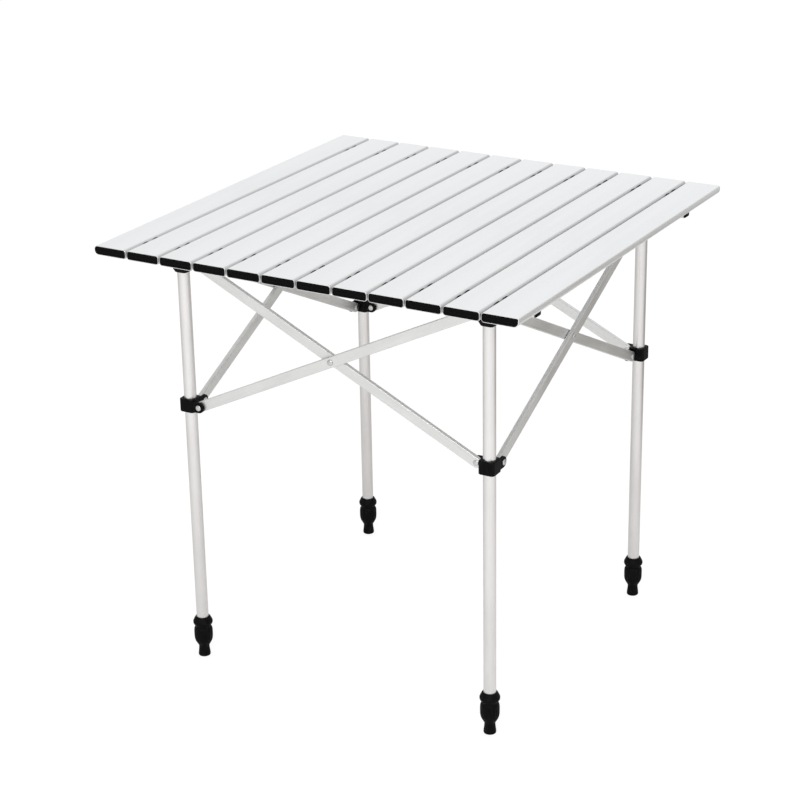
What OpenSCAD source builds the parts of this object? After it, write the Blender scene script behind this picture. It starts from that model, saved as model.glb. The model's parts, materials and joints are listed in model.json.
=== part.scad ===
// Folding side table: a roll-up slatted aluminium top on a frame of four upright
// legs joined by crossed braces, with sliding collars, screw feet and two rails.
// +X runs along the front edge, +Y from front to back, +Z up. The origin is on
// the floor under the middle of the top.

/* [Tabletop] */
// Width of the top across its slats
top_w = 700; // [640:10:760]
// Length of one slat, front to back
top_d = 700; // [640:10:760]
// Height of the top's upper face above the floor
top_z = 700; // [660:10:740]
// Number of slats
slat_count = 12; // [12:1:12]
// Gap between two slats
slat_gap = 2; // [1.5:0.5:3]
// Thickness of a slat
slat_t = 14; // [12:1:16]
// Wall of the slat extrusion
slat_wall = 0.8; // [0.8:0.2:1.6]
// Radius of the slats' long edges
slat_r = 4.5; // [3:0.5:5]
// Radius of the full-round outer edge of the first and the last slat
outer_r = 6.9; // [5:0.1:6.9]
// Distance of the inner and the outer elastic cord from the middle of the slats
cord_y = [276, 300];
// Radius of the cord holes in the slats
cord_hole_r = 2.2; // [1.5:0.1:3]

/* [Legs] */
// Distance of each leg's axis from the middle, in X and in Y
leg_at = 258; // [240:2:270]
// Outer diameter of the leg tube
tube_d = 19; // [16:1:20]
// Wall of the leg tube
tube_wall = 1.2; // [1:0.1:2]
// Height of the bottom end of the leg tube
tube_z0 = 24; // [22:1:30]

/* [Hubs and collars] */
// Width of the square hub and collar blocks
block_w = 26; // [25:1:28]
// Corner radius of the blocks
block_r = 5; // [3:1:5]
// Height of the brace pivots in the hubs
hub_z = 661.5; // [650:0.5:662]
// Height of the brace pivots in the collars
collar_z = 433.5; // [400:0.5:460]
// Height of a collar
collar_h = 21; // [18:1:28]
// Radial play of a collar on its tube
collar_play = 0.3; // [0.2:0.1:0.4]
// Distance of a brace pivot from the leg's axis
pivot_out = 22; // [22:0.5:24]
// Radius of the lugs that the braces are riveted to
lug_r = 8.5; // [8:0.1:9]
// Thickness of a lug
lug_t = 4; // [3:0.5:5]

/* [Braces] */
// Height of the brace section
bar_w = 16; // [14:1:16]
// Thickness of the brace section
bar_t = 7; // [6:0.5:7]
// Wall of the brace section
bar_wall = 1.2; // [1:0.1:1.5]
// Clear gap between the two crossing braces
cross_gap = 0.4; // [0.3:0.1:0.6]
// Clear gap between a brace and its lug
lug_gap = 0.3; // [0.2:0.1:0.4]
// Shank radius of the rivets
rivet_r = 2.5; // [2:0.1:3]
// Radius of the rivet heads
rivet_head_r = 4.6; // [4:0.1:5]
// Radial play of a rivet that turns in its hole
pin_play = 0.05; // [0.02:0.01:0.1]

/* [Rails] */
// Length of a rail with its end plugs
rail_l = 670; // [600:2:680]
// Width of the rail section
rail_w = 16; // [14:1:18]
// Wall of the rail section
rail_wall = 1.2; // [1:0.1:1.5]
// Clear gap round a rail
rail_gap = 0.3; // [0.2:0.1:0.5]

/* [Feet] */
// Radius of the foot's bulb
foot_r = 14.75; // [13:0.25:16]
// Radial play of the foot on the tube
foot_play = 0.08; // [0.05:0.01:0.1]
// Number of grip flutes on the bulb
flute_count = 16; // [12:1:24]

/* [Hidden] */
$fn = 48;
CORNERS = ["front_left", "front_right", "back_right", "back_left"];
SIDES = ["front", "right", "back", "left"];
NUMBERS = ["01", "02", "03", "04", "05", "06", "07", "08", "09", "10", "11", "12"];

ALUMINIUM = "gainsboro";
PLASTIC = [0.12, 0.12, 0.13];
eps = 0.01;

slat_pitch = (top_w + slat_gap) / slat_count;
slat_w = slat_pitch - slat_gap;
slat_z0 = top_z - slat_t;
cap_depth = 14;
cap_play = 0.05;

tube_r = tube_d / 2;
hub_z0 = hub_z - 14.5;
hub_z1 = hub_z + 9;
hub_foot_w = tube_d + 2;
hub_neck_z = hub_z - 8;
tube_z1 = hub_z1 - 4;

// Planes of the inner and the outer brace, measured inward from the leg's axis
plane = (bar_t + cross_gap) / 2;
lug_at = bar_t / 2 + lug_gap;
span = 2 * (leg_at - pivot_out);
rise = hub_z - collar_z;
bar_l = sqrt(span * span + rise * rise);
bar_angle = atan2(rise, span);
head_t = 1.9;
head_gap = 0.3;

rail_z0 = hub_z1 + rail_gap;
rail_z1 = slat_z0 - rail_gap;
rail_h = rail_z1 - rail_z0;
saddle_wall = 3.5;
saddle_h = 8;
plug_flange = 4;
plug_depth = 14;

foot_bore_z0 = 22;

// ---------- helpers ----------

// Rectangle with its own corner radius at the low-x and the high-x end, centred
module soft_rect(w, h, r0, r1) {
    difference() {
        square([w, h], center = true);
        for (s = [-1, 1]) {
            corner_cut(-w / 2, s * h / 2, 1, -s, r0);
            corner_cut(w / 2, s * h / 2, -1, -s, r1);
        }
    }
}

// What a radius r takes off the corner at (x, y); sx and sy point into the shape
module corner_cut(x, y, sx, sy, r) {
    translate([x, y]) difference() {
        translate([sx > 0 ? -1 : -r, sy > 0 ? -1 : -r]) square(r + 1);
        translate([sx * r, sy * r]) circle(r);
    }
}

// Moves the first corner's piece to corner i; the four corners are quarter turns
module at_corner(i) {
    rotate([0, 0, 90 * i]) translate([-leg_at, -leg_at, 0]) children();
}

// Straight square block with rounded corners, centred on Z
module block(w, z0, z1) {
    translate([0, 0, z0]) linear_extrude(z1 - z0) soft_rect(w, w, block_r, block_r);
}

// Lug toward +X at height z. The brace lies on the plane y = off, and the lug is
// beside it, outside (s = -1) or inside (s = 1).
module lug(z, off, s) {
    translate([0, off + s * (lug_at + lug_t / 2), z]) rotate([90, 0, 0]) difference() {
        linear_extrude(lug_t, center = true) {
            translate([block_w / 4, -lug_r]) square([pivot_out - block_w / 4, 2 * lug_r]);
            translate([pivot_out, 0]) circle(lug_r);
        }
        translate([pivot_out, 0, 0]) cylinder(r = rivet_r + pin_play, h = lug_t + 2, center = true);
    }
}

// The same lug toward +Y, beside a brace on the plane x = off
module lug_y(z, off, s) {
    mirror([1, -1, 0]) lug(z, off, s);
}

// ---------- tabletop ----------

function slat_x(k) = -top_w / 2 + slat_w / 2 + k * slat_pitch;
function left_r(k) = k == 0 ? outer_r : slat_r;
function right_r(k) = k == slat_count - 1 ? outer_r : slat_r;

module slat_section(k, inset) {
    soft_rect(slat_w - 2 * inset, slat_t - 2 * inset, left_r(k) - inset, right_r(k) - inset);
}

module slat(k) {
    color(ALUMINIUM) translate([slat_x(k), 0, top_z - slat_t / 2]) difference() {
        rotate([90, 0, 0]) linear_extrude(top_d, center = true) difference() {
            slat_section(k, 0);
            slat_section(k, slat_wall);
        }
        for (sx = [-1, 1], sy = [-1, 1], y = cord_y)
            if (slat_x(k) * sx < (top_w - slat_w) / 2 - eps)
                translate([sx * slat_w / 2, sy * y, 0]) rotate([0, 90, 0])
                    cylinder(r = cord_hole_r, h = 4 * slat_wall, center = true);
    }
}

module end_caps(k) {
    color(PLASTIC) for (s = [-1, 1])
        translate([slat_x(k), s * (top_d - cap_depth) / 2, top_z - slat_t / 2])
            rotate([90, 0, 0]) linear_extrude(cap_depth, center = true)
                slat_section(k, slat_wall + cap_play);
}

// ---------- legs, hubs, collars and feet ----------

module leg(i) {
    color(ALUMINIUM) at_corner(i) translate([0, 0, tube_z0]) difference() {
        cylinder(r = tube_r, h = tube_z1 - tube_z0);
        translate([0, 0, -1]) cylinder(r = tube_r - tube_wall, h = tube_z1 - tube_z0 + 2);
    }
}

// The hub's block narrows downward to a skirt round the tube
module hub_block() {
    block(block_w, hub_neck_z, hub_z1);
    hull() {
        translate([0, 0, hub_neck_z]) linear_extrude(eps)
            offset(block_r, $fn = 32) square(block_w - 2 * block_r, center = true);
        translate([0, 0, hub_z0]) linear_extrude(eps)
            offset(block_r, $fn = 32) square(hub_foot_w - 2 * block_r, center = true);
    }
}

// The saddle's two walls hold a rail between them and always run along X
module saddle() {
    for (s = [-1, 1])
        translate([-block_w / 2 + 2, s * (rail_w / 2 + rail_gap + saddle_wall / 2) - saddle_wall / 2, hub_z1 - 1])
            cube([block_w - 4, saddle_wall, saddle_h + 1]);
}

module hub(i) {
    color(PLASTIC) at_corner(i) {
        difference() {
            union() {
                hub_block();
                lug(hub_z, plane, -1);
                lug_y(hub_z, -plane, 1);
            }
            translate([0, 0, hub_z0 - 1]) cylinder(r = tube_r, h = tube_z1 - hub_z0 + 1);
        }
        rotate([0, 0, -90 * i]) saddle();
    }
}

module collar(i) {
    color(PLASTIC) at_corner(i) difference() {
        union() {
            block(block_w, collar_z - collar_h / 2, collar_z + collar_h / 2);
            lug(collar_z, -plane, -1);
            lug_y(collar_z, plane, 1);
        }
        translate([0, 0, collar_z - collar_h]) cylinder(r = tube_r + collar_play, h = 2 * collar_h);
    }
}

// Outline of the foot from its flat pad to the lip round the tube
FOOT_OUTLINE = [
    [0, 0], [8, 0], [9.5, 1.5], [9.6, 4], [8.4, 15], [8.6, 18], [10.8, 22], [13.2, 26.5],
    [14.4, 31], [foot_r, 35], [foot_r, 44], [14.2, 48], [13, 50.5], [12.6, 52.5], [13.2, 54.5],
    [14.8, 56.5], [15.5, 59], [15.3, 61.5], [13.6, 65], [11.4, 69], [0, 69]
];

module foot(i) {
    flute_r = 2.4;
    flute_depth = 0.4;
    color(PLASTIC) at_corner(i) difference() {
        rotate_extrude() polygon(FOOT_OUTLINE);
        translate([0, 0, foot_bore_z0]) cylinder(r = tube_r + foot_play, h = 50);
        for (k = [0 : flute_count - 1])
            rotate([0, 0, (k + 0.5) * 360 / flute_count])
                translate([foot_r + flute_r - flute_depth, 0, 29]) cylinder(r = flute_r, h = 18, $fn = 16);
    }
}

// ---------- braces and rivets ----------

// Puts a bar drawn along X from its first pivot onto side j. Each side is the
// front side turned; an inner bar falls from a hub to a collar, an outer bar
// rises from a collar to a hub.
module on_side(j, inner) {
    rotate([0, 0, 90 * j])
        translate([-span / 2, -leg_at + (inner ? plane : -plane), inner ? hub_z : collar_z])
            rotate([0, inner ? bar_angle : -bar_angle, 0]) children();
}

module pivot_hole(x, r) {
    translate([x, 0, 0]) rotate([90, 0, 0]) cylinder(r = r, h = bar_t + 2, center = true);
}

module brace(j, inner) {
    end_r = bar_w / 2;
    color(ALUMINIUM) on_side(j, inner) difference() {
        rotate([90, 0, 0]) translate([0, 0, -bar_t / 2]) linear_extrude(bar_t) {
            translate([0, -end_r]) square([bar_l, bar_w]);
            circle(end_r);
            translate([bar_l, 0]) circle(end_r);
        }
        translate([-end_r - 1, -bar_t / 2 + bar_wall, -bar_w / 2 + bar_wall])
            cube([bar_l + bar_w + 2, bar_t - 2 * bar_wall, bar_w - 2 * bar_wall]);
        pivot_hole(0, rivet_r);
        pivot_hole(bar_l, rivet_r);
        pivot_hole(bar_l / 2, inner ? rivet_r : rivet_r + pin_play);
    }
}

// Rivet along Y from y0 to y1 under its two domed heads
module rivet(y0, y1) {
    dome = [for (k = [0 : 6]) let (a = 15 * k) [rivet_head_r * cos(a), head_t * sin(a)]];
    rotate([-90, 0, 0]) {
        translate([0, 0, y0 - eps]) cylinder(r = rivet_r, h = y1 - y0 + 2 * eps);
        translate([0, 0, y1]) rotate_extrude() polygon(concat([[0, 0]], dome));
        translate([0, 0, y0]) mirror([0, 0, 1]) rotate_extrude() polygon(concat([[0, 0]], dome));
    }
}

// A brace's first end has its lug outside, its second end has it inside
module rivets(j, inner) {
    face = bar_t / 2;
    far = lug_at + lug_t + head_gap;
    // The crossing rivet goes on through the outer brace
    cross_far = face + cross_gap + bar_t + head_gap;
    color("silver") on_side(j, inner) {
        rivet(-far, face - eps);
        translate([bar_l, 0, 0]) rivet(-face + eps, far);
        if (inner) translate([bar_l / 2, 0, 0]) rivet(-cross_far, face - eps);
    }
}

// ---------- rails ----------

module on_rail(back) {
    translate([0, back ? leg_at : -leg_at, (rail_z0 + rail_z1) / 2]) children();
}

module rail(back) {
    tube_l = rail_l - 2 * plug_flange;
    color(ALUMINIUM) on_rail(back) difference() {
        cube([tube_l, rail_w, rail_h], center = true);
        cube([tube_l + 2, rail_w - 2 * rail_wall, rail_h - 2 * rail_wall], center = true);
    }
}

module rail_plugs(back) {
    color(PLASTIC) on_rail(back) for (s = [-1, 1]) {
        translate([s * (rail_l - plug_flange) / 2, 0, 0])
            cube([plug_flange, rail_w - 1, rail_h - 1], center = true);
        translate([s * (rail_l / 2 - plug_flange - plug_depth / 2 + eps), 0, 0])
            cube([plug_depth, rail_w - 2 * rail_wall - 0.1, rail_h - 2 * rail_wall - 0.1], center = true);
    }
}

for (k = [0 : slat_count - 1]) {
    slat(k);
    end_caps(k);
}
for (i = [0 : 3]) {
    leg(i);
    hub(i);
    collar(i);
    foot(i);
    brace(i, true);
    brace(i, false);
    rivets(i, true);
    rivets(i, false);
}
rail(false);  // rail_front
rail(true);  // rail_back
rail_plugs(false);  // rail_plugs_front
rail_plugs(true);  // rail_plugs_back
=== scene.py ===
"""Looks of the folding side table: slats, end caps, cords, legs, hubs, collars, braces, rails and feet.

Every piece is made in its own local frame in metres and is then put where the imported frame
says. The "grain" attribute keeps the local place of each point, with the piece's long axis
first; the materials read it, so that brushing and weave follow each piece.
"""

import json
from math import atan2, cos, hypot, pi, radians, sin

import bmesh
import bpy
from mathutils import Matrix, Vector


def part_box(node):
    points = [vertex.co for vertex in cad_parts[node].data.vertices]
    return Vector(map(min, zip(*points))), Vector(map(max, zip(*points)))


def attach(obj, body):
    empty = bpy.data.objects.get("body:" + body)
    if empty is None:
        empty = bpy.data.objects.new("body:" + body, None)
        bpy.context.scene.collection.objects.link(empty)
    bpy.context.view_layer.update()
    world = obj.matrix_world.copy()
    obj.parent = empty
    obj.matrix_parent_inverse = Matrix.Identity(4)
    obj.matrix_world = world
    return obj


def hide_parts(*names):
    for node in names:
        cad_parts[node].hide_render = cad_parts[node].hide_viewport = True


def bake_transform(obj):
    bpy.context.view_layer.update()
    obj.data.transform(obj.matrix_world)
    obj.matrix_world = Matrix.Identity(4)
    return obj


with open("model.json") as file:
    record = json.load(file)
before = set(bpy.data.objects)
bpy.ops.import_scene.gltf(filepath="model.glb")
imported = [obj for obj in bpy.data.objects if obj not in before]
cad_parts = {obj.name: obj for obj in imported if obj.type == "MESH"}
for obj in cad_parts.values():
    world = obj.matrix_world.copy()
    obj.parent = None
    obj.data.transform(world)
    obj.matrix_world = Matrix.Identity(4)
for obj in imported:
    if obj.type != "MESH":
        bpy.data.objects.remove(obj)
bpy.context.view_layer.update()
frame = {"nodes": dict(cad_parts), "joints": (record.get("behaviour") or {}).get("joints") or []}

MM = 0.001
CORNERS = ["front_left", "front_right", "back_right", "back_left"]
SIDES = ["front", "right", "back", "left"]
SLATS = sorted(name for name in frame["nodes"] if name.startswith("slat_"))
JOINTS = {j["name"]: j for j in frame["joints"]}


def centre(node):
    """Middle of a CAD node's box."""
    low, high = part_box(node)
    return (low + high) / 2


def size(node):
    """Size of a CAD node's box."""
    low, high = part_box(node)
    return high - low


# ---------- sizes that come from the frame ----------

# LEG_AT is how far out each leg stands along X and Y. BAR_L and BAR_ANGLE are a brace's length
# between its end pivots and its slope. PLANE is how far an inner brace lies inside the plane
# of the legs' axes, and an outer brace outside it.
LEG = centre("leg_front_left")
LEG_AT = -LEG.x
TUBE_R = size("leg_front_left").x / 2
HUB_PIVOT = Vector(JOINTS["frame_fold"]["pos_m"])
COLLAR_PIVOT = Vector(JOINTS["collar_pivot_front_left"]["pos_m"])
SPAN = -2 * HUB_PIVOT.x
RISE = HUB_PIVOT.z - COLLAR_PIVOT.z
BAR_L = hypot(SPAN, RISE)
BAR_ANGLE = atan2(RISE, SPAN)
BAR_T = size("brace_inner_front").y
PLANE = centre("brace_inner_front").y + LEG_AT
SLAT_T = size(SLATS[0]).z
SLAT_L = size(SLATS[0]).y
TOP_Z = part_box(SLATS[0])[1].z
SLAT_MID_Z = TOP_Z - SLAT_T / 2
RAIL_SIZE = size("rail_front")

# ---------- sizes of the mouldings ----------

# Walls of the hollow bars
SLAT_WALL = 0.8 * MM
TUBE_WALL = 1.2 * MM
BAR_WALL = 1.2 * MM
RAIL_WALL = 1.2 * MM

# Radius of the edges between slats, then the upper and lower radius of the top's outer edges
SLAT_EDGE_R = 4.5 * MM
FIRST_EDGE_R = (5.6 * MM, 6.9 * MM)
LAST_EDGE_R = (2.0 * MM, 8.0 * MM)

# Distance from a slat's side at which the painted shade of its gap begins, and at which it is full
GAP_SHADE_FROM = 4.3 * MM
GAP_SHADE_TO = 2.0 * MM

# Elastic cords: their places along the slats, front and back alike, and how far they reach to
# each side of a gap's middle
CORD_Y = (276 * MM, 300 * MM)
CORD_R = 1.9 * MM
CORD_HOLE_R = 2.2 * MM
CORD_REACH = 6 * MM

# Washers on the cords
SPACER_W = 15 * MM
SPACER_H = 12 * MM
SPACER_R = SPACER_H / 2.2
SPACER_T = 1.7 * MM

# End caps: depth in the slat, play round the plug, and the rib across the panel
CAP_DEPTH = 14 * MM
CAP_PLAY = 0.05 * MM
RIB_INSET = 8 * MM
RIB_H = 1.5 * MM
RIB_R = 0.7 * MM

# Hubs and collars: the square block, the hub's reach above its pivot and down to its neck,
# the saddle for the rail, the collar's play on the tube, the distance from a leg's axis out
# to a pivot, and the lugs beside the braces
BLOCK_W = 26 * MM
BLOCK_R = 5 * MM
HUB_ABOVE = 9 * MM
HUB_BELOW = 8 * MM
SADDLE_H = 8 * MM
SADDLE_WALL = 3.5 * MM
COLLAR_PLAY = 0.3 * MM
PIVOT_OUT = LEG_AT + HUB_PIVOT.x
LUG_R = 8.5 * MM
LUG_T = 4 * MM
LUG_GAP = 0.3 * MM

# Braces and rivets
BAR_W = 16 * MM
RIVET_R = 2.5 * MM
RIVET_HEAD_R = 4.6 * MM
RIVET_HEAD_T = 1.9 * MM

# Feet: the bore that takes the tube, and the flutes
FOOT_BORE_R = TUBE_R + 0.08 * MM
FOOT_BORE_Z = 22 * MM
FLUTES = 16
FLUTE_DEPTH = 0.5 * MM

# ---------- light ----------

# Directions in the table's own frame: to its front right, and square to that
FRONT_RIGHT = (0.504, -0.864, 0.0)
BACK_RIGHT = (0.864, 0.504, 0.0)
KEY_POWER = 46
TOP_POWER = 3
# Painted light on the floor, which only the metal mirrors: brightest, darkest, how bright from 0 to 1 it is
# behind the table, the metres over which it pales toward the front right, and its dim corner
FLOOR_SIZE = 60.0
FLOOR_BRIGHT = (1.0, 1.0, 0.99)
FLOOR_DARK = (0.38, 0.36, 0.335)
FLOOR_BEHIND = 0.6
FLOOR_PALES = (-0.5, 0.9)
DIM_CORNER = (1.35, 1.4, 0.0)
DIM_REACH = (0.6, 1.3)
# What the camera sees: white floor and white surroundings
SEEN_FLOOR = 0.25
SEEN_FLOOR_GLOW = 0.82
SEEN_SKY = 1.1
# Strength of the surroundings: to the left, to the right, far to either side and overhead
SKY_LEFT = 0.92
SKY_RIGHT = 1.03
SKY_SIDES = 0.6
SKY_ZENITH = 0.72

# ---------- camera ----------

CAMERA_AT = (1.5846, -2.7828, 1.6779)
CAMERA_YAW = radians(30.242)
CAMERA_PITCH = radians(21.823)
CAMERA_ROLL = radians(-1.008)
CAMERA_LENS = 98.45


# ---------- mesh building ----------

def soft_rect(w, h, radii, inset=0.0, arc=6):
    """Outline of a rectangle with rounded corners, anticlockwise, drawn inset from its edge.

    radii is one radius, or four: upper right, upper left, lower left and lower right.
    """
    w, h = w - 2 * inset, h - 2 * inset
    if not isinstance(radii, (list, tuple)):
        radii = [radii] * 4
    radii = [max(r - inset, 0.02 * MM) for r in radii]
    points = []
    for quarter, (sx, sy) in enumerate([(1, 1), (-1, 1), (-1, -1), (1, -1)]):
        r = radii[quarter]
        for k in range(arc + 1):
            a = (quarter + k / arc) * pi / 2
            points.append((sx * (w / 2 - r) + r * cos(a), sy * (h / 2 - r) + r * sin(a)))
    return points


def circle(r, count=48):
    """Points round a circle, anticlockwise."""
    return [(r * cos(2 * pi * k / count), r * sin(2 * pi * k / count)) for k in range(count)]


def stadium(length, w, inset=0.0, arc=14):
    """Outline of a bar with round ends, from the first end's centre at the origin."""
    r = w / 2 - inset
    turns = [pi * (k / arc - 0.5) for k in range(arc + 1)]
    right = [(length + r * cos(a), r * sin(a)) for a in turns]
    left = [(r * cos(a + pi), r * sin(a + pi)) for a in turns]
    return right + left


def lug_outline(inset=0.0, arc=18):
    """Outline of a lug from inside the block to its round end at the pivot."""
    r = LUG_R - inset
    turns = [pi * (k / arc - 0.5) for k in range(arc + 1)]
    tip = [(PIVOT_OUT + r * cos(a), r * sin(a)) for a in turns]
    root = BLOCK_W / 4 + inset
    return tip + [(root, r), (root, -r)]


def loft(rings, loop=False):
    """A closed mesh through rings of 3-D points that all have the same count."""
    bm = bmesh.new()
    made = [[bm.verts.new(p) for p in ring] for ring in rings]
    pairs = list(zip(made, made[1:])) + ([(made[-1], made[0])] if loop else [])
    for a, b in pairs:
        for k in range(len(a)):
            n = (k + 1) % len(a)
            bm.faces.new((a[k], a[n], b[n], b[k]))
    if not loop:
        bm.faces.new(made[0])
        bm.faces.new(made[-1])
    bmesh.ops.recalc_face_normals(bm, faces=bm.faces)
    return bm


def ring_x(x, outline):
    """The outline stood up square to X."""
    return [(x, y, z) for y, z in outline]


def ring_y(y, outline):
    """The outline stood up square to Y."""
    return [(x, y, z) for x, z in outline]


def ring_z(z, outline):
    """The outline laid flat at height z."""
    return [(x, y, z) for x, y in outline]


def merged(parts):
    """One mesh that holds several bmesh parts side by side."""
    out = bmesh.new()
    for bm in parts:
        scratch = bpy.data.meshes.new("scratch")
        bm.to_mesh(scratch)
        out.from_mesh(scratch)
        bm.free()
        bpy.data.meshes.remove(scratch)
    return out


def moved(bm, matrix):
    """bm transformed in place, its faces still outward where the matrix mirrors it."""
    bm.transform(matrix)
    if matrix.determinant() < 0:
        bmesh.ops.reverse_faces(bm, faces=bm.faces)
    return bm


def combine(bm, others, operation):
    """bm joined with, or cut by, the other solids."""
    main = bare_object("solid", bm)
    for other in others:
        tool = bare_object("tool", other)
        step = main.modifiers.new("step", "BOOLEAN")
        step.operation = operation
        step.solver = "EXACT"
        step.object = tool
        settle(main)
        bpy.data.objects.remove(tool)
    out = bmesh.new()
    out.from_mesh(main.data)
    bpy.data.objects.remove(main)
    bmesh.ops.remove_doubles(out, verts=out.verts, dist=0.002 * MM)
    return out


def bare_object(name, bm):
    """An object in the scene that holds bm as its mesh."""
    mesh = bpy.data.meshes.new(name)
    bm.to_mesh(mesh)
    bm.free()
    obj = bpy.data.objects.new(name, mesh)
    bpy.context.scene.collection.objects.link(obj)
    return obj


def settle(obj):
    """Applies the object's modifiers to its mesh."""
    bpy.context.view_layer.update()
    graph = bpy.context.evaluated_depsgraph_get()
    mesh = bpy.data.meshes.new_from_object(obj.evaluated_get(graph))
    obj.modifiers.clear()
    obj.data = mesh


def piece(name, bm, place, material, along="X", smooth_below=32):
    """Makes the object: local mesh, grain, place in the frame, material and soft edges."""
    obj = bare_object(name, bm)
    mesh = obj.data
    mesh.polygons.foreach_set("use_smooth", [True] * len(mesh.polygons))
    mesh.set_sharp_from_angle(angle=radians(smooth_below))
    order = {"X": (0, 1, 2), "Y": (1, 2, 0), "Z": (2, 0, 1)}[along]
    grain = mesh.attributes.new("grain", "FLOAT_VECTOR", "POINT")
    grain.data.foreach_set("vector", [v.co[i] for v in mesh.vertices for i in order])
    mesh.transform(place)
    mesh.materials.append(material)
    return obj


def even_shading(obj):
    """Keeps flat faces flat to the eye beside their rounded edges."""
    weighted = obj.modifiers.new("even_shading", "WEIGHTED_NORMAL")
    weighted.keep_sharp = True
    return obj


# ---------- materials ----------

def node(tree, kind, links=None, **values):
    """Adds a shader node; values set its properties, links its inputs."""
    made = tree.nodes.new(kind)
    for key, value in values.items():
        setattr(made, key, value)
    for key, value in (links or {}).items():
        if isinstance(value, bpy.types.NodeSocket):
            tree.links.new(value, made.inputs[key])
        else:
            made.inputs[key].default_value = value
    return made


def new_material(name, **shader):
    """A material whose constant values are on the shader itself; returns it, its tree and shader."""
    material = bpy.data.materials.new(name)
    material.use_nodes = True
    tree = material.node_tree
    principled = tree.nodes["Principled BSDF"]
    for key, value in shader.items():
        principled.inputs[key.replace("_", " ")].default_value = value
    return material, tree, principled


def grain_noise(tree, scale, detail=3.0, roughness=0.55):
    """Noise in the piece's own grain, stretched by scale in 1/m along, across and through."""
    grain = node(tree, "ShaderNodeAttribute", attribute_name="grain")
    mapped = node(tree, "ShaderNodeMapping", {"Vector": grain.outputs["Vector"], "Scale": scale})
    return node(
        tree,
        "ShaderNodeTexNoise",
        {"Vector": mapped.outputs["Vector"], "Scale": 1.0, "Detail": detail, "Roughness": roughness},
    ).outputs["Fac"]


def ranged(tree, value, low, high, source=(0.3, 0.7)):
    """Maps a value from the source range, by default the usual spread of noise, to low..high."""
    return node(
        tree,
        "ShaderNodeMapRange",
        {"Value": value, "From Min": source[0], "From Max": source[1], "To Min": low, "To Max": high},
    ).outputs["Result"]


def tinted(tree, factor, dark, light):
    """Colour from dark to light by factor; either may be a colour or a node's output."""
    ends = [end if isinstance(end, bpy.types.NodeSocket) else (*end, 1.0) for end in (dark, light)]
    links = {"Factor": factor, 6: ends[0], 7: ends[1]}
    return node(tree, "ShaderNodeMix", links, data_type="RGBA").outputs[2]


def maths(tree, operation, first, second=0.0):
    """The value that one mathematical operation gives."""
    return node(tree, "ShaderNodeMath", {0: first, 1: second}, operation=operation).outputs["Value"]


def vector_maths(tree, operation, first, second):
    """The value that one operation on two vectors gives."""
    links = {0: first, 1: second}
    return node(tree, "ShaderNodeVectorMath", links, operation=operation).outputs["Value"]


def brushed_aluminium(name, dark, light, rough, brush=0.035, cloud=6.0, gap_shade=None):
    """Anodised aluminium: fine drawing lines along the grain, faint clouds and a satin sheen.

    Its last argument is the colour of a painted shade, which it takes where the mesh's attribute of the same
    name is 1, in the edges between slats.
    """
    material, tree, shader = new_material(name, Metallic=1.0, Anisotropic=0.35)
    lines = grain_noise(tree, (9.0, 2600.0, 2600.0), detail=4.0)
    clouds = grain_noise(tree, (cloud, cloud * 3.0, cloud * 3.0), detail=2.0)
    specks = grain_noise(tree, (1900.0, 1900.0, 1900.0), detail=2.0)
    both = maths(tree, "ADD", ranged(tree, lines, 0.0, 0.6), ranged(tree, clouds, 0.0, 0.4))
    colour = tinted(tree, both, dark, light)
    if gap_shade:
        # Painted shade: the edges that face a gap between slats go darker
        gap_shaded = node(tree, "ShaderNodeAttribute", attribute_name="gap_shade").outputs["Fac"]
        colour = tinted(tree, gap_shaded, colour, gap_shade)
    tree.links.new(colour, shader.inputs["Base Color"])
    line_sheen = ranged(tree, lines, rough - 0.04, rough + 0.05)
    sheen = maths(tree, "ADD", line_sheen, ranged(tree, clouds, -0.03, 0.03))
    tree.links.new(sheen, shader.inputs["Roughness"])
    height = maths(tree, "ADD", lines, specks)
    bump = node(tree, "ShaderNodeBump", {"Height": height, "Strength": brush, "Distance": 0.2 * MM})
    tree.links.new(bump.outputs["Normal"], shader.inputs["Normal"])
    return material


def moulded_plastic(name, dark, light, rough, texture=0.12):
    """Black moulded nylon: a fine spark-eroded skin, scuffs that lift the sheen a little."""
    material, tree, shader = new_material(name, IOR=1.5, Specular_IOR_Level=0.07)
    skin = grain_noise(tree, (2300.0, 2300.0, 2300.0), detail=2.0)
    scuffs = grain_noise(tree, (60.0, 240.0, 240.0), detail=5.0, roughness=0.65)
    worn = ranged(tree, scuffs, 0.0, 1.0, (0.42, 0.72))
    tree.links.new(tinted(tree, worn, dark, light), shader.inputs["Base Color"])
    tree.links.new(ranged(tree, scuffs, rough - 0.06, rough + 0.1), shader.inputs["Roughness"])
    bump = node(tree, "ShaderNodeBump", {"Height": skin, "Strength": texture, "Distance": 0.15 * MM})
    tree.links.new(bump.outputs["Normal"], shader.inputs["Normal"])
    return material


def braided_cord(name):
    """Black braided elastic: two crossing spirals of thread round the cord."""
    material, tree, shader = new_material(name, Roughness=0.8, Sheen_Weight=0.3)
    grain = node(tree, "ShaderNodeAttribute", attribute_name="grain").outputs["Vector"]
    waves = []
    for slope in (1.0, -1.0):
        mapped = node(tree, "ShaderNodeMapping", {"Vector": grain, "Scale": (900.0, 700.0 * slope, 500.0)})
        links = {"Vector": mapped.outputs["Vector"], "Scale": 1.0, "Distortion": 0.6}
        waves.append(node(tree, "ShaderNodeTexWave", links, bands_direction="DIAGONAL").outputs["Fac"])
    weave = maths(tree, "MAXIMUM", waves[0], waves[1])
    thread = tinted(tree, weave, (0.006, 0.006, 0.006), (0.03, 0.03, 0.032))
    tree.links.new(thread, shader.inputs["Base Color"])
    bump = node(tree, "ShaderNodeBump", {"Height": weave, "Strength": 0.4, "Distance": 0.2 * MM})
    tree.links.new(bump.outputs["Normal"], shader.inputs["Normal"])
    return material


# The slats' edges that face a gap take a darker painted shade
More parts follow.
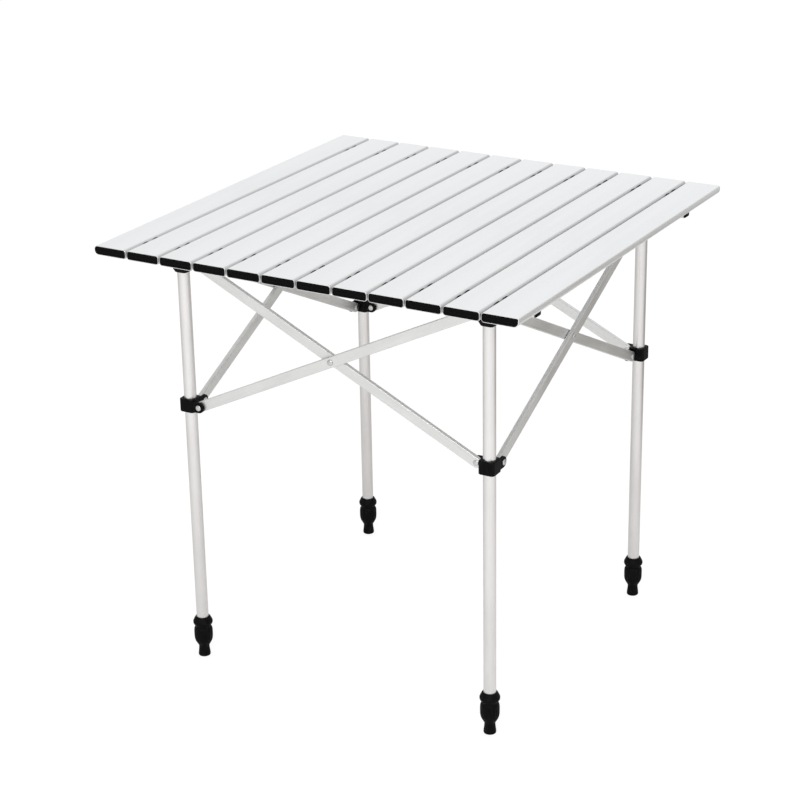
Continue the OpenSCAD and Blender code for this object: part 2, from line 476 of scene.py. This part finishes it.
SLAT_METAL = brushed_aluminium(
    "slat_anodised", (0.875, 0.885, 0.895), (0.945, 0.955, 0.97), 0.42, cloud=5.0, gap_shade=(0.70, 0.70, 0.705)
)
TUBE_METAL = brushed_aluminium("tube_anodised", (0.75, 0.735, 0.73), (0.89, 0.87, 0.865), 0.33, cloud=12.0)
BRACE_METAL = brushed_aluminium("brace_anodised", (0.70, 0.70, 0.695), (0.86, 0.86, 0.855), 0.40, cloud=14.0)
RIVET_METAL = brushed_aluminium("rivet_plain", (0.56, 0.56, 0.56), (0.70, 0.70, 0.70), 0.30, 0.02, 300.0)
JOINT_PLASTIC = moulded_plastic("joint_nylon", (0.0015, 0.0015, 0.0016), (0.005, 0.005, 0.0052), 0.45)
CAP_PLASTIC = moulded_plastic("cap_nylon", (0.0015, 0.0014, 0.0015), (0.004, 0.0038, 0.004), 0.5)
FOOT_PLASTIC = moulded_plastic("foot_rubbery", (0.002, 0.002, 0.002), (0.006, 0.006, 0.006), 0.52, 0.18)
CORD_MATERIAL = braided_cord("elastic_braid")


# ---------- tabletop ----------

def slat_outline(k, inset):
    """Section of a slat: each pair of radii is for the upper and the lower corner of a side."""
    inner_edge = (SLAT_EDGE_R, SLAT_EDGE_R)
    upper_left, lower_left = FIRST_EDGE_R if k == 0 else inner_edge
    upper_right, lower_right = LAST_EDGE_R if k == len(SLATS) - 1 else inner_edge
    radii = (upper_right, upper_left, lower_left, lower_right)
    return soft_rect(size(SLATS[k]).x, SLAT_T, radii, inset, arc=9)


def slat_place(k):
    """A slat is made along local Y, at its own middle."""
    return Matrix.Translation((centre(SLATS[k]).x, 0, SLAT_MID_Z))


def cord_places():
    """Y of the four cords."""
    return [s * y for s in (-1, 1) for y in CORD_Y]


def shade_gap_edges(obj, k):
    """Sets the painted shade attribute from 0 on a slat's flats to 1 in the edges that face another slat."""
    low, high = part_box(SLATS[k])
    values = []
    for v in obj.data.vertices:
        to_left = v.co.x - low.x if k > 0 else SLAT_L
        to_right = high.x - v.co.x if k < len(SLATS) - 1 else SLAT_L
        depth = min(to_left, to_right)
        values.append(min(max((GAP_SHADE_FROM - depth) / (GAP_SHADE_FROM - GAP_SHADE_TO), 0.0), 1.0))
    obj.data.attributes.new("gap_shade", "FLOAT", "POINT").data.foreach_set("value", values)


def tube_stations(half, wall, deburr):
    """Stations of a hollow bar's skin: out along it, back inside it, with its ends deburred."""
    outside = [(-half + deburr, 0), (half - deburr, 0), (half, deburr)]
    return outside + [(half, wall), (-half, wall), (-half, deburr)]


def slat(k):
    """Hollow extrusion with deburred ends and the cords' holes in its inner walls."""
    stations = tube_stations(SLAT_L / 2, SLAT_WALL, 0.25 * MM)
    bm = loft([ring_y(y, slat_outline(k, inset)) for y, inset in stations], loop=True)
    reach = size(SLATS[k]).x / 2
    cutters = []
    for side in (-1, 1):
        if not 0 <= k + side < len(SLATS):
            continue
        for y in cord_places():
            hole = loft([ring_x(x, circle(CORD_HOLE_R, 24)) for x in (-2 * SLAT_WALL, 2 * SLAT_WALL)])
            cutters.append(moved(hole, Matrix.Translation((side * reach, y, 0))))
    bm = combine(bm, [merged(cutters)], "DIFFERENCE")
    obj = even_shading(piece(f"top_slat_{k + 1:02d}", bm, slat_place(k), SLAT_METAL, "Y"))
    # Painted shade in the edges that face a gap
    shade_gap_edges(obj, k)
    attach(obj, SLATS[k])
    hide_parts(SLATS[k])


def end_caps(k):
    """A plug in each end of a slat: a rounded border round a shallow panel with a middle rib."""
    # Depth in from the slat's end and inset from the cap's outline, in mm, from panel to plug
    stations = [(0.75, 4.2), (0.75, 3.0), (0.15, 2.5), (-0.1, 2.2), (-0.15, 1.2), (0.1, 0.45), (0.6, 0.05),
                (CAP_DEPTH / MM, 0.0)]
    rib_stations = [(0.25, 0.25), (0.4, 0.0), (1.6, 0.0)]
    rib_l = size(SLATS[k]).x - 2 * RIB_INSET
    fit = SLAT_WALL + CAP_PLAY
    parts = []
    for s in (-1, 1):
        parts.append(loft([ring_y(s * (SLAT_L / 2 - depth * MM), slat_outline(k, fit + inset * MM))
                           for depth, inset in stations]))
        parts.append(loft([ring_y(s * (SLAT_L / 2 - depth * MM), soft_rect(rib_l, RIB_H, RIB_R, inset * MM))
                           for depth, inset in rib_stations]))
    number = SLATS[k][-2:]
    obj = piece(f"slat_end_caps_{number}", merged(parts), slat_place(k), CAP_PLASTIC, "Y", 50)
    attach(even_shading(obj), SLATS[k])
    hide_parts(f"end_caps_{number}")


def gap_x(k):
    """X of the middle of the gap between slat k and the next one."""
    return (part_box(SLATS[k])[1].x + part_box(SLATS[k + 1])[0].x) / 2


def gap_place(k):
    """The cords' pieces are made at the middle of their gap."""
    return Matrix.Translation((gap_x(k), 0, SLAT_MID_Z))


def spacers(k):
    """Four soft oblong washers on the cords, which keep two slats apart."""
    half, soft = SPACER_T / 2, 0.35 * MM
    stations = [(-half, soft), (-0.6 * half, 0.0), (0.6 * half, 0.0), (half, soft)]
    parts = []
    for y in cord_places():
        washer = loft([ring_x(x, soft_rect(SPACER_W, SPACER_H, SPACER_R, inset)) for x, inset in stations])
        hole = loft([ring_x(x, circle(CORD_R + 0.05 * MM, 28)) for x in (-2 * half, 2 * half)])
        parts.append(moved(combine(washer, [hole], "DIFFERENCE"), Matrix.Translation((0, y, 0))))
    obj = piece(f"cord_spacers_{SLATS[k][-2:]}", merged(parts), gap_place(k), CAP_PLASTIC)
    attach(obj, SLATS[k])


def cords(k):
    """The four elastic cords where they cross one gap."""
    steps = 16
    places = [CORD_REACH * (2 * i / steps - 1) for i in range(steps + 1)]
    parts = [moved(loft([ring_x(x, circle(CORD_R, 20)) for x in places]), Matrix.Translation((0, y, 0)))
             for y in cord_places()]
    obj = piece(f"elastic_cords_{SLATS[k][-2:]}", merged(parts), gap_place(k), CORD_MATERIAL)
    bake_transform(obj)


# ---------- legs, hubs, collars and feet ----------

def corner_place(i):
    """The corners are quarter turns of the front left one, whose leg axis is local Z."""
    return Matrix.Rotation(i * pi / 2, 4, "Z") @ Matrix.Translation((-LEG_AT, -LEG_AT, 0))


def leg(i):
    """Leg tube with deburred ends."""
    middle = LEG.z
    stations = tube_stations(size(f"leg_{CORNERS[i]}").z / 2, TUBE_WALL, 0.3 * MM)
    bm = loft([ring_z(middle + z, circle(TUBE_R - inset, 64)) for z, inset in stations], loop=True)
    obj = piece(f"leg_tube_{CORNERS[i]}", bm, corner_place(i), TUBE_METAL, "Z")
    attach(obj, f"leg_{CORNERS[i]}")
    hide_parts(f"leg_{CORNERS[i]}")


def lug(z, plane, s):
    """Lug toward +X at height z, outside (s = -1) or inside (s = 1) a brace on that plane."""
    near = plane + s * (BAR_T / 2 + LUG_GAP)
    y0, y1 = sorted((near, near + s * LUG_T))
    soft = 0.7 * MM
    stations = [(y0, soft), (y0 + 0.25 * soft, 0.25 * soft), (y0 + soft, 0), (y1 - soft, 0),
                (y1 - 0.25 * soft, 0.25 * soft), (y1, soft)]
    bm = loft([ring_y(y, lug_outline(inset)) for y, inset in stations])
    return moved(bm, Matrix.Translation((0, 0, z)))


def lug_holes(z):
    """Cutters for the rivets' holes through the lugs toward +X and toward +Y."""
    reach = BLOCK_W / 2 + MM
    rings = [ring_y(y, circle(RIVET_R + 0.05 * MM, 32)) for y in (-reach, reach)]
    out = Matrix.Translation((PIVOT_OUT, 0, z))
    return [moved(loft(rings), out), moved(loft(rings), SWAP_XY @ out)]


SWAP_XY = Matrix(((0, 1, 0, 0), (1, 0, 0, 0), (0, 0, 1, 0), (0, 0, 0, 1)))


def block(stations, arc=7):
    """Square block with rounded corners through (height, width) stations."""
    return loft([ring_z(z, soft_rect(w, w, BLOCK_R, 0.0, arc)) for z, w in stations])


def hub(i):
    """Hub on top of a leg: two lugs, a skirt round the tube and a saddle for the rail."""
    z0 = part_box(f"hub_{CORNERS[i]}")[0].z
    z1 = HUB_PIVOT.z + HUB_ABOVE
    neck = HUB_PIVOT.z - HUB_BELOW
    skirt = 2 * TUBE_R + 2 * MM
    w = BLOCK_W
    body = block([(z0, skirt - 0.8 * MM), (z0 + 0.5 * MM, skirt), (neck - MM, w - 0.9 * MM),
                  (neck + 0.6 * MM, w), (z1 - MM, w), (z1 - 0.3 * MM, w - 0.6 * MM), (z1, w - 2 * MM)])
    tools = [lug(HUB_PIVOT.z, PLANE, -1), moved(lug(HUB_PIVOT.z, -PLANE, 1), SWAP_XY)]
    saddle_y = RAIL_SIZE.y / 2 + 0.3 * MM + SADDLE_WALL / 2
    saddle_top = z1 + SADDLE_H
    rings = [(z1 - 2 * MM, 0.0), (saddle_top - 1.4 * MM, 0.0), (saddle_top - 0.4 * MM, 0.45 * MM),
             (saddle_top, 1.2 * MM)]
    for s in (-1, 1):
        side = loft([ring_z(z, soft_rect(w - 4 * MM, SADDLE_WALL, 1.2 * MM, inset, 4)) for z, inset in rings])
        # The rails run along X at every corner, so the corner's turn is undone first
        turn_back = Matrix.Rotation(-i * pi / 2, 4, "Z")
        tools.append(moved(side, turn_back @ Matrix.Translation((0, s * saddle_y, 0))))
    bm = combine(body, tools, "UNION")
    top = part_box(f"leg_{CORNERS[i]}")[1].z
    bore_stations = [(z0 - MM, TUBE_R + 0.8 * MM), (z0, TUBE_R + 0.5 * MM), (z0 + 0.5 * MM, TUBE_R),
                     (top, TUBE_R)]
    bore = loft([ring_z(z, circle(r, 64)) for z, r in bore_stations])
    bm = combine(bm, [bore, *lug_holes(HUB_PIVOT.z)], "DIFFERENCE")
    obj = piece(f"hub_moulding_{CORNERS[i]}", bm, corner_place(i), JOINT_PLASTIC, "Z", 40)
    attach(even_shading(obj), f"leg_{CORNERS[i]}")
    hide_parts(f"hub_{CORNERS[i]}")


def collar(i):
    """Sliding collar: a rounded square block with two lugs and a flared bore."""
    low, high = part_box(f"collar_{CORNERS[i]}")
    z0, z1, w = low.z, high.z, BLOCK_W
    body = block([(z0, w - 2.2 * MM), (z0 + 0.3 * MM, w - 0.8 * MM), (z0 + MM, w), (z1 - MM, w),
                  (z1 - 0.3 * MM, w - 0.8 * MM), (z1, w - 2.2 * MM)])
    tools = [lug(COLLAR_PIVOT.z, -PLANE, -1), moved(lug(COLLAR_PIVOT.z, PLANE, 1), SWAP_XY)]
    bm = combine(body, tools, "UNION")
    bore_r, flare = TUBE_R + COLLAR_PLAY, 1.6 * MM
    bore_stations = [(z0 - MM, bore_r + flare), (z0 + 0.9 * MM, bore_r), (z1 - 0.9 * MM, bore_r),
                     (z1 + MM, bore_r + flare)]
    bore = loft([ring_z(z, circle(r, 64)) for z, r in bore_stations])
    bm = combine(bm, [bore, *lug_holes(COLLAR_PIVOT.z)], "DIFFERENCE")
    obj = piece(f"collar_moulding_{CORNERS[i]}", bm, corner_place(i), JOINT_PLASTIC, "Z", 40)
    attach(even_shading(obj), f"collar_{CORNERS[i]}")
    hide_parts(f"collar_{CORNERS[i]}")


def smooth_path(points, steps):
    """Catmull-Rom curve through points."""
    out = []
    padded = [points[0]] + points + [points[-1]]
    for a, b, c, d in zip(padded, padded[1:], padded[2:], padded[3:]):
        for k in range(steps):
            t = k / steps
            weights = (
                (-t + 2 * t ** 2 - t ** 3) / 2,
                (2 - 5 * t ** 2 + 3 * t ** 3) / 2,
                (t + 4 * t ** 2 - 3 * t ** 3) / 2,
                (t ** 3 - t ** 2) / 2,
            )
            out.append(tuple(sum(w * v for w, v in zip(weights, values)) for values in zip(a, b, c, d)))
    return out + [points[-1]]


# Radius and height of the foot, in mm, from the pad's edge to the lip round the tube, and
# the middle and half-height of the stretch that is fluted
FOOT_PROFILE = [(7.6, 0), (9.0, 0.5), (9.6, 2.2), (9.3, 6), (8.4, 14), (8.6, 18), (10.8, 22), (13.2, 26.5),
                (14.4, 31), (14.75, 36), (14.75, 44), (14.3, 48), (13.2, 50.4), (12.5, 52.4), (13.1, 54.6),
                (14.8, 56.6), (15.5, 59), (15.3, 61.5), (13.7, 65), (12.0, 68.2), (11.2, 69)]
FLUTED_AT, FLUTED_REACH = 38.5, 10.5


def foot(i):
    """Screw foot: pad, neck, fluted bulb, groove and flange, hollow where the tube goes in."""
    count = 8 * FLUTES
    turns = [2 * pi * k / count for k in range(count)]
    rings = [ring_z(0, circle(3 * MM, count)), ring_z(0, circle(7 * MM, count))]
    for r, z in smooth_path(FOOT_PROFILE, 4):
        depth = FLUTE_DEPTH * max(0.0, 1 - ((z - FLUTED_AT) / FLUTED_REACH) ** 4)
        radii = [r * MM - depth * max(0.0, cos(FLUTES * a)) ** 3 for a in turns]
        rings.append([(radius * cos(a), radius * sin(a), z * MM) for radius, a in zip(radii, turns)])
    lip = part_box(f"foot_{CORNERS[i]}")[1].z
    for z, r in [(lip, FOOT_BORE_R + 0.5 * MM), (lip - 0.6 * MM, FOOT_BORE_R), (FOOT_BORE_Z, FOOT_BORE_R)]:
        rings.append(ring_z(z, circle(r, count)))
    bm = loft(rings)
    obj = piece(f"screw_foot_{CORNERS[i]}", bm, corner_place(i), FOOT_PLASTIC, "Z", 40)
    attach(obj, f"foot_{CORNERS[i]}")
    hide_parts(f"foot_{CORNERS[i]}")


# ---------- braces, rivets and rails ----------

def brace_place(j, inner):
    """An inner bar falls from a hub to a collar, an outer bar rises from a collar to a hub."""
    pivot, side = (HUB_PIVOT, 1) if inner else (COLLAR_PIVOT, -1)
    start = Matrix.Translation((-SPAN / 2, -LEG_AT + side * PLANE, pivot.z))
    return Matrix.Rotation(j * pi / 2, 4, "Z") @ start @ Matrix.Rotation(side * BAR_ANGLE, 4, "Y")


def brace(j, inner):
    """Flat aluminium tube with its ends cut round."""
    soft = 0.9 * MM
    half = BAR_T / 2
    stations = [(-half, soft), (-half + 0.12 * soft, 0.5 * soft), (-half + 0.5 * soft, 0.12 * soft),
                (-half + soft, 0)]
    stations += [(-y, inset) for y, inset in reversed(stations)]
    bm = loft([ring_y(y, stadium(BAR_L, BAR_W, inset)) for y, inset in stations])
    hollow = loft([ring_x(x, soft_rect(BAR_T - 2 * BAR_WALL, BAR_W - 2 * BAR_WALL, 0.4 * MM, 0.0, 3))
                   for x in (-BAR_W, BAR_L + BAR_W)])
    bm = combine(bm, [hollow], "DIFFERENCE")
    word = "inner" if inner else "outer"
    obj = piece(f"brace_bar_{word}_{SIDES[j]}", bm, brace_place(j, inner), BRACE_METAL)
    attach(even_shading(obj), f"brace_{word}_{SIDES[j]}")
    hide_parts(f"brace_{word}_{SIDES[j]}")


def rivet(y0, y1):
    """Rivet along Y, whose two domed heads stand on y0 and y1."""
    dome = [(RIVET_HEAD_R * cos(a), RIVET_HEAD_T * sin(a)) for a in (pi / 2 * k / 7 for k in range(8))]
    rim = 0.35 * MM
    head = [(RIVET_HEAD_R - 0.1 * MM, 0.0), (RIVET_HEAD_R, rim * 0.4)]
    head += [(r, rim + h * (1 - rim / RIVET_HEAD_T)) for r, h in dome[1:-1]] + [(0.35 * MM, RIVET_HEAD_T)]
    rings = [ring_y(y0 - h, circle(r, 32)) for r, h in reversed(head)]
    rings += [ring_y(y, circle(RIVET_R, 32)) for y in (y0, y1)]
    rings += [ring_y(y1 + h, circle(r, 32)) for r, h in head]
    return loft(rings)


def rivets(j, inner):
    """A brace's first end has its lug outside, its second end has it inside."""
    face, gap = BAR_T / 2, 0.3 * MM
    far = face + LUG_GAP + LUG_T + gap
    parts = [rivet(-far, face), moved(rivet(-face, far), Matrix.Translation((BAR_L, 0, 0)))]
    if inner:
        cross_far = face + 2 * PLANE + gap
        parts.append(moved(rivet(-cross_far, face), Matrix.Translation((BAR_L / 2, 0, 0))))
    word = "inner" if inner else "outer"
    name = f"brace_rivets_{word}_{SIDES[j]}"
    obj = piece(name, merged(parts), brace_place(j, inner), RIVET_METAL, "Y", 50)
    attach(obj, f"brace_{word}_{SIDES[j]}")
    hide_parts(f"rivets_{word}_{SIDES[j]}")


def rail(which):
    """Square aluminium tube that carries the slats."""
    body = f"rail_{which}"
    stations = tube_stations(RAIL_SIZE.x / 2, RAIL_WALL, 0.2 * MM)
    rings = [ring_x(x, soft_rect(RAIL_SIZE.y, RAIL_SIZE.z, 1.6 * MM, inset)) for x, inset in stations]
    bm = loft(rings, loop=True)
    obj = piece(f"support_{body}", bm, Matrix.Translation(centre(body)), BRACE_METAL)
    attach(even_shading(obj), body)
    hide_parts(body)


def rail_plugs(which):
    """Domed plug in each end of a rail."""
    node_name = f"rail_plugs_{which}"
    half = size(node_name).x / 2
    # Depth in from the plug's tip and inset from the rail's outline, in mm, from dome to shank
    stations = [(0.0, 4.5), (0.3, 2.6), (1.0, 1.2), (2.2, 0.4), (4.0, 0.1), (4.0, 1.25), (18.0, 1.35)]
    w, h = RAIL_SIZE.y, RAIL_SIZE.z
    parts = [loft([ring_x(s * (half - depth * MM), soft_rect(w, h, 3 * MM, inset * MM))
                   for depth, inset in stations]) for s in (-1, 1)]
    place = Matrix.Translation(centre(node_name))
    obj = piece(f"rail_end_plugs_{which}", merged(parts), place, CAP_PLASTIC, "X", 50)
    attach(even_shading(obj), f"rail_{which}")
    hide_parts(node_name)


# ---------- floor, light and camera ----------

def by_ray(tree, seen, lit):
    """One value for what is seen directly, another for what lights the table and is mirrored in it."""
    camera_ray = node(tree, "ShaderNodeLightPath").outputs["Is Camera Ray"]
    return node(tree, "ShaderNodeMix", {"Factor": camera_ray, 2: lit, 3: seen}).outputs[0]


def floor():
    """White floor: evenly white to the eye, while the metal mirrors painted light on it, paler in front than
    behind.
    """
    bm = loft([ring_z(z, soft_rect(FLOOR_SIZE, FLOOR_SIZE, 1.0)) for z in (-0.02, 0.0)])
    obj = bare_object("floor", bm)
    material, tree, shader = new_material("pale_floor", Roughness=0.9, Specular_IOR_Level=0.0)
    where = node(tree, "ShaderNodeTexCoord").outputs["Object"]
    forward = vector_maths(tree, "DOT_PRODUCT", where, FRONT_RIGHT)
    mottle = node(tree, "ShaderNodeTexNoise", {"Vector": where, "Scale": 1.5, "Detail": 2.0}).outputs["Fac"]
    uneven = maths(tree, "ADD", forward, ranged(tree, mottle, -0.03, 0.03))
    # Painted light for the metal's reflections: paler toward the front right, darker behind the table and
    # round a dim corner
    front_to_back = ranged(tree, uneven, FLOOR_BEHIND, 1.0, FLOOR_PALES)
    from_corner = vector_maths(tree, "DISTANCE", where, DIM_CORNER)
    lit = maths(tree, "MINIMUM", front_to_back, ranged(tree, from_corner, 0.0, 1.0, DIM_REACH))
    mirrored = tinted(tree, lit, FLOOR_DARK, FLOOR_BRIGHT)
    camera_ray = node(tree, "ShaderNodeLightPath").outputs["Is Camera Ray"]
    colour = tinted(tree, camera_ray, mirrored, (SEEN_FLOOR, SEEN_FLOOR, SEEN_FLOOR))
    tree.links.new(colour, shader.inputs["Base Color"])
    shader.inputs["Emission Color"].default_value = (1.0, 1.0, 1.0, 1.0)
    tree.links.new(by_ray(tree, SEEN_FLOOR_GLOW, 0.0), shader.inputs["Emission Strength"])
    obj.data.materials.append(material)


def soft_light(name, place, target, width, power):
    """A round area light that faces its target."""
    data = bpy.data.lights.new(name, "AREA")
    data.shape = "DISK"
    data.size = width
    data.energy = power
    obj = bpy.data.objects.new(name, data)
    bpy.context.scene.collection.objects.link(obj)
    obj.location = place
    obj.rotation_euler = (Vector(target) - Vector(place)).to_track_quat("-Z", "Y").to_euler()


def studio():
    """Soft surroundings, dimmer overhead and far to either side, and two area lights."""
    world = bpy.data.worlds.new("studio")
    world.use_nodes = True
    tree = world.node_tree
    background = tree.nodes["Background"]
    background.inputs["Color"].default_value = (1.0, 1.0, 1.0, 1.0)
    aim = node(tree, "ShaderNodeTexCoord").outputs["Generated"]
    part = node(tree, "ShaderNodeSeparateXYZ", {0: aim}).outputs
    aside = maths(tree, "ABSOLUTE", vector_maths(tree, "DOT_PRODUCT", aim, BACK_RIGHT))
    sky = ranged(tree, part["X"], SKY_LEFT, SKY_RIGHT, (-0.8, 0.2))
    sky = maths(tree, "MULTIPLY", sky, ranged(tree, aside, 1.0, SKY_SIDES, (0.45, 0.9)))
    sky = maths(tree, "MULTIPLY", sky, ranged(tree, part["Z"], 1.0, SKY_ZENITH, (0.5, 0.9)))
    tree.links.new(by_ray(tree, SEEN_SKY, sky), background.inputs["Strength"])
    bpy.context.scene.world = world
    soft_light("key_front", (1.1, -3.3, 2.7), (0, 0, 0.5), 1.6, KEY_POWER)
    soft_light("top_softbox", (0.3, 0.4, 3.4), (0, 0, 0.6), 3.0, TOP_POWER)


def camera():
    """Stands to the front right, looks down at the table, and is level but for a slight roll."""
    data = bpy.data.cameras.new("camera")
    data.lens = CAMERA_LENS
    data.sensor_width = 36.0
    data.clip_end = 100.0
    obj = bpy.data.objects.new("camera", data)
    bpy.context.scene.collection.objects.link(obj)
    tilt = Matrix.Rotation(pi / 2 - CAMERA_PITCH, 4, "X") @ Matrix.Rotation(CAMERA_ROLL, 4, "Z")
    obj.matrix_world = Matrix.Translation(CAMERA_AT) @ Matrix.Rotation(CAMERA_YAW, 4, "Z") @ tilt
    bpy.context.scene.camera = obj


camera()
floor()
studio()
for k in range(len(SLATS)):
    slat(k)
    end_caps(k)
for k in range(len(SLATS) - 1):
    spacers(k)
    cords(k)
for i in range(4):
    leg(i)
    hub(i)
    collar(i)
    foot(i)
for j in range(4):
    for inner in (True, False):
        brace(j, inner)
        rivets(j, inner)
for which in ("front", "back"):
    rail(which)
    rail_plugs(which)
bpy.context.scene.view_settings.view_transform = "Standard"
